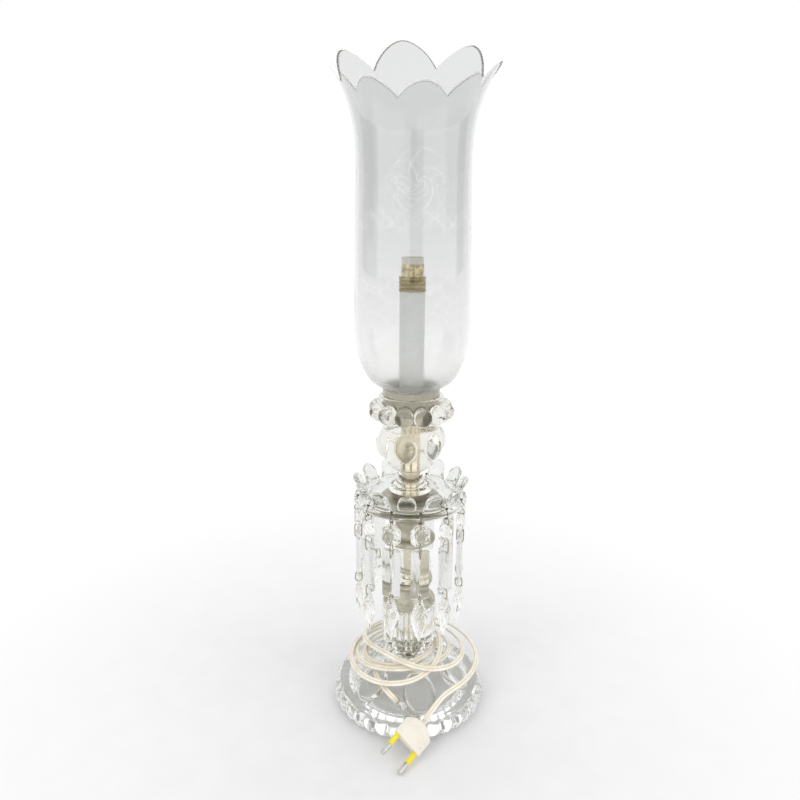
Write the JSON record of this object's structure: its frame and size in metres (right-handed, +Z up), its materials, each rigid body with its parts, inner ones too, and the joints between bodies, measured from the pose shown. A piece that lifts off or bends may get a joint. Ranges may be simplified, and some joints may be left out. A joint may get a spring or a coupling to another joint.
{
  "type": "table lamp",
  "caption": "Table lamp of clear glass on a brass stem: beaded foot, petalled drip dish hung with crystal chains, candle cup and tall flared shade, flat cord and plug",
  "frame": {"origin": "on the stem's axis at the surface the foot stands on", "axes": "+Z up along the stem, -Y to the front, +X to the right seen from the front"},
  "size_m": [0.13, 0.1614, 0.51],
  "materials": {
    "clear_glass": "moulded clear glass, fire polished",
    "crystal": "cut clear crystal with its wire link",
    "etched_glass": "thin blown glass with etched bands",
    "aged_brass": "spun brass, aged",
    "bright_brass": "lacquered brass",
    "contact_brass": "plain turned brass",
    "gallery_metal": "dull plated brass",
    "dark_wire": "darkened wire",
    "felt_washer": "dark soft washer",
    "candle_sleeve": "pale candle tube",
    "insulator": "pale moulded insulator",
    "cord_cover": "ivory flexible cord",
    "plug_plastic": "ivory moulded plastic",
    "pin_metal": "plated pins with half sleeves"
  },
  "bodies": {
    "lamp": {"foot": "clear_glass", "baluster": "clear_glass", "column_cap": "aged_brass", "stem_spool": "clear_glass", "dish_carrier": "aged_brass", "drip_dish": "clear_glass", "dish_pins": "dark_wire", "cup_washer": "felt_washer", "candle_cup": "clear_glass", "gallery": "gallery_metal", "candle_tube": "candle_sleeve", "holder_ring": "bright_brass", "holder_shell": "bright_brass", "holder_insulator": "insulator", "holder_contacts": "contact_brass", "stem_tube": "contact_brass", "stem_fasteners": "contact_brass", "inner_lead": "cord_cover", "cord_lead": "cord_cover", "cord_winding": "cord_cover", "cord_tail": "cord_cover", "plug_body": "plug_plastic", "plug_pins": "pin_metal"},
    "glass_shade": {"shade": "etched_glass"},
    "chain_01_bead": {"bead_01": "crystal"},
    "chain_01_prism": {"prism_01": "crystal"},
    "chain_01_drop": {"drop_01": "crystal"},
    "chain_02_bead": {"bead_02": "crystal"},
    "chain_02_prism": {"prism_02": "crystal"},
    "chain_02_drop": {"drop_02": "crystal"},
    "chain_03_bead": {"bead_03": "crystal"},
    "chain_03_prism": {"prism_03": "crystal"},
    "chain_03_drop": {"drop_03": "crystal"},
    "chain_04_bead": {"bead_04": "crystal"},
    "chain_04_prism": {"prism_04": "crystal"},
    "chain_04_drop": {"drop_04": "crystal"},
    "chain_05_bead": {"bead_05": "crystal"},
    "chain_05_prism": {"prism_05": "crystal"},
    "chain_05_drop": {"drop_05": "crystal"},
    "chain_06_bead": {"bead_06": "crystal"},
    "chain_06_prism": {"prism_06": "crystal"},
    "chain_06_drop": {"drop_06": "crystal"},
    "chain_07_bead": {"bead_07": "crystal"},
    "chain_07_prism": {"prism_07": "crystal"},
    "chain_07_drop": {"drop_07": "crystal"},
    "chain_08_bead": {"bead_08": "crystal"},
    "chain_08_prism": {"prism_08": "crystal"},
    "chain_08_drop": {"drop_08": "crystal"},
    "chain_09_bead": {"bead_09": "crystal"},
    "chain_09_prism": {"prism_09": "crystal"},
    "chain_09_drop": {"drop_09": "crystal"},
    "chain_10_bead": {"bead_10": "crystal"},
    "chain_10_prism": {"prism_10": "crystal"},
    "chain_10_drop": {"drop_10": "crystal"},
    "chain_11_bead": {"bead_11": "crystal"},
    "chain_11_prism": {"prism_11": "crystal"},
    "chain_11_drop": {"drop_11": "crystal"},
    "chain_12_bead": {"bead_12": "crystal"},
    "chain_12_prism": {"prism_12": "crystal"},
    "chain_12_drop": {"drop_12": "crystal"}
  },
  "joints": [
    {"name": "shade_lift", "type": "slide", "parent": "lamp", "child": "glass_shade", "axis": [0, 0, 1], "range_m": [0, 0.11]},
    {"name": "bead_01_swing", "type": "hinge", "parent": "lamp", "child": "chain_01_bead", "pos_m": [0.00806, -0.04224, 0.18095], "axis": [-0.9823, -0.1874, 0], "range_deg": [-3, 25]},
    {"name": "prism_01_swing", "type": "hinge", "parent": "chain_01_bead", "child": "chain_01_prism", "pos_m": [0.00806, -0.04224, 0.16231], "axis": [-0.9823, -0.1874, 0], "range_deg": [-4, 20]},
    {"name": "drop_01_swing", "type": "hinge", "parent": "chain_01_prism", "child": "chain_01_drop", "pos_m": [0.00806, -0.04224, 0.11801], "axis": [-0.9823, -0.1874, 0], "range_deg": [-5, 15]},
    {"name": "bead_02_swing", "type": "hinge", "parent": "lamp", "child": "chain_02_bead", "pos_m": [0.0281, -0.03255, 0.18095], "axis": [-0.757, -0.6534, 0], "range_deg": [-3, 25]},
    {"name": "prism_02_swing", "type": "hinge", "parent": "chain_02_bead", "child": "chain_02_prism", "pos_m": [0.0281, -0.03255, 0.16231], "axis": [-0.757, -0.6534, 0], "range_deg": [-4, 20]},
    {"name": "drop_02_swing", "type": "hinge", "parent": "chain_02_prism", "child": "chain_02_drop", "pos_m": [0.0281, -0.03255, 0.11801], "axis": [-0.757, -0.6534, 0], "range_deg": [-5, 15]},
    {"name": "bead_03_swing", "type": "hinge", "parent": "lamp", "child": "chain_03_bead", "pos_m": [0.04061, -0.01414, 0.18095], "axis": [-0.3289, -0.9444, 0], "range_deg": [-3, 25]},
    {"name": "prism_03_swing", "type": "hinge", "parent": "chain_03_bead", "child": "chain_03_prism", "pos_m": [0.04061, -0.01414, 0.16231], "axis": [-0.3289, -0.9444, 0], "range_deg": [-4, 20]},
    {"name": "drop_03_swing", "type": "hinge", "parent": "chain_03_prism", "child": "chain_03_drop", "pos_m": [0.04061, -0.01414, 0.11801], "axis": [-0.3289, -0.9444, 0], "range_deg": [-5, 15]},
    {"name": "bead_04_swing", "type": "hinge", "parent": "lamp", "child": "chain_04_bead", "pos_m": [0.04224, 0.00806, 0.18095], "axis": [0.1874, -0.9823, 0], "range_deg": [-3, 25]},
    {"name": "prism_04_swing", "type": "hinge", "parent": "chain_04_bead", "child": "chain_04_prism", "pos_m": [0.04224, 0.00806, 0.16231], "axis": [0.1874, -0.9823, 0], "range_deg": [-4, 20]},
    {"name": "drop_04_swing", "type": "hinge", "parent": "chain_04_prism", "child": "chain_04_drop", "pos_m": [0.04224, 0.00806, 0.11801], "axis": [0.1874, -0.9823, 0], "range_deg": [-5, 15]},
    {"name": "bead_05_swing", "type": "hinge", "parent": "lamp", "child": "chain_05_bead", "pos_m": [0.03255, 0.0281, 0.18095], "axis": [0.6534, -0.757, 0], "range_deg": [-3, 25]},
    {"name": "prism_05_swing", "type": "hinge", "parent": "chain_05_bead", "child": "chain_05_prism", "pos_m": [0.03255, 0.0281, 0.16231], "axis": [0.6534, -0.757, 0], "range_deg": [-4, 20]},
    {"name": "drop_05_swing", "type": "hinge", "parent": "chain_05_prism", "child": "chain_05_drop", "pos_m": [0.03255, 0.0281, 0.11801], "axis": [0.6534, -0.757, 0], "range_deg": [-5, 15]},
    {"name": "bead_06_swing", "type": "hinge", "parent": "lamp", "child": "chain_06_bead", "pos_m": [0.01414, 0.04061, 0.18095], "axis": [0.9444, -0.3289, 0], "range_deg": [-3, 25]},
    {"name": "prism_06_swing", "type": "hinge", "parent": "chain_06_bead", "child": "chain_06_prism", "pos_m": [0.01414, 0.04061, 0.16231], "axis": [0.9444, -0.3289, 0], "range_deg": [-4, 20]},
    {"name": "drop_06_swing", "type": "hinge", "parent": "chain_06_prism", "child": "chain_06_drop", "pos_m": [0.01414, 0.04061, 0.11801], "axis": [0.9444, -0.3289, 0], "range_deg": [-5, 15]},
    {"name": "bead_07_swing", "type": "hinge", "parent": "lamp", "child": "chain_07_bead", "pos_m": [-0.00806, 0.04224, 0.18095], "axis": [0.9823, 0.1874, 0], "range_deg": [-3, 25]},
    {"name": "prism_07_swing", "type": "hinge", "parent": "chain_07_bead", "child": "chain_07_prism", "pos_m": [-0.00806, 0.04224, 0.16231], "axis": [0.9823, 0.1874, 0], "range_deg": [-4, 20]},
    {"name": "drop_07_swing", "type": "hinge", "parent": "chain_07_prism", "child": "chain_07_drop", "pos_m": [-0.00806, 0.04224, 0.11801], "axis": [0.9823, 0.1874, 0], "range_deg": [-5, 15]},
    {"name": "bead_08_swing", "type": "hinge", "parent": "lamp", "child": "chain_08_bead", "pos_m": [-0.0281, 0.03255, 0.18095], "axis": [0.757, 0.6534, 0], "range_deg": [-3, 25]},
    {"name": "prism_08_swing", "type": "hinge", "parent": "chain_08_bead", "child": "chain_08_prism", "pos_m": [-0.0281, 0.03255, 0.16231], "axis": [0.757, 0.6534, 0], "range_deg": [-4, 20]},
    {"name": "drop_08_swing", "type": "hinge", "parent": "chain_08_prism", "child": "chain_08_drop", "pos_m": [-0.0281, 0.03255, 0.11801], "axis": [0.757, 0.6534, 0], "range_deg": [-5, 15]},
    {"name": "bead_09_swing", "type": "hinge", "parent": "lamp", "child": "chain_09_bead", "pos_m": [-0.04061, 0.01414, 0.18095], "axis": [0.3289, 0.9444, 0], "range_deg": [-3, 25]},
    {"name": "prism_09_swing", "type": "hinge", "parent": "chain_09_bead", "child": "chain_09_prism", "pos_m": [-0.04061, 0.01414, 0.16231], "axis": [0.3289, 0.9444, 0], "range_deg": [-4, 20]},
    {"name": "drop_09_swing", "type": "hinge", "parent": "chain_09_prism", "child": "chain_09_drop", "pos_m": [-0.04061, 0.01414, 0.11801], "axis": [0.3289, 0.9444, 0], "range_deg": [-5, 15]},
    {"name": "bead_10_swing", "type": "hinge", "parent": "lamp", "child": "chain_10_bead", "pos_m": [-0.04224, -0.00806, 0.18095], "axis": [-0.1874, 0.9823, 0], "range_deg": [-3, 25]},
    {"name": "prism_10_swing", "type": "hinge", "parent": "chain_10_bead", "child": "chain_10_prism", "pos_m": [-0.04224, -0.00806, 0.16231], "axis": [-0.1874, 0.9823, 0], "range_deg": [-4, 20]},
    {"name": "drop_10_swing", "type": "hinge", "parent": "chain_10_prism", "child": "chain_10_drop", "pos_m": [-0.04224, -0.00806, 0.11801], "axis": [-0.1874, 0.9823, 0], "range_deg": [-5, 15]},
    {"name": "bead_11_swing", "type": "hinge", "parent": "lamp", "child": "chain_11_bead", "pos_m": [-0.03255, -0.0281, 0.18095], "axis": [-0.6534, 0.757, 0], "range_deg": [-3, 25]},
    {"name": "prism_11_swing", "type": "hinge", "parent": "chain_11_bead", "child": "chain_11_prism", "pos_m": [-0.03255, -0.0281, 0.16231], "axis": [-0.6534, 0.757, 0], "range_deg": [-4, 20]},
    {"name": "drop_11_swing", "type": "hinge", "parent": "chain_11_prism", "child": "chain_11_drop", "pos_m": [-0.03255, -0.0281, 0.11801], "axis": [-0.6534, 0.757, 0], "range_deg": [-5, 15]},
    {"name": "bead_12_swing", "type": "hinge", "parent": "lamp", "child": "chain_12_bead", "pos_m": [-0.01414, -0.04061, 0.18095], "axis": [-0.9444, 0.3289, 0], "range_deg": [-3, 25]},
    {"name": "prism_12_swing", "type": "hinge", "parent": "chain_12_bead", "child": "chain_12_prism", "pos_m": [-0.01414, -0.04061, 0.16231], "axis": [-0.9444, 0.3289, 0], "range_deg": [-4, 20]},
    {"name": "drop_12_swing", "type": "hinge", "parent": "chain_12_prism", "child": "chain_12_drop", "pos_m": [-0.01414, -0.04061, 0.11801], "axis": [-0.9444, 0.3289, 0], "range_deg": [-5, 15]}
  ]
}
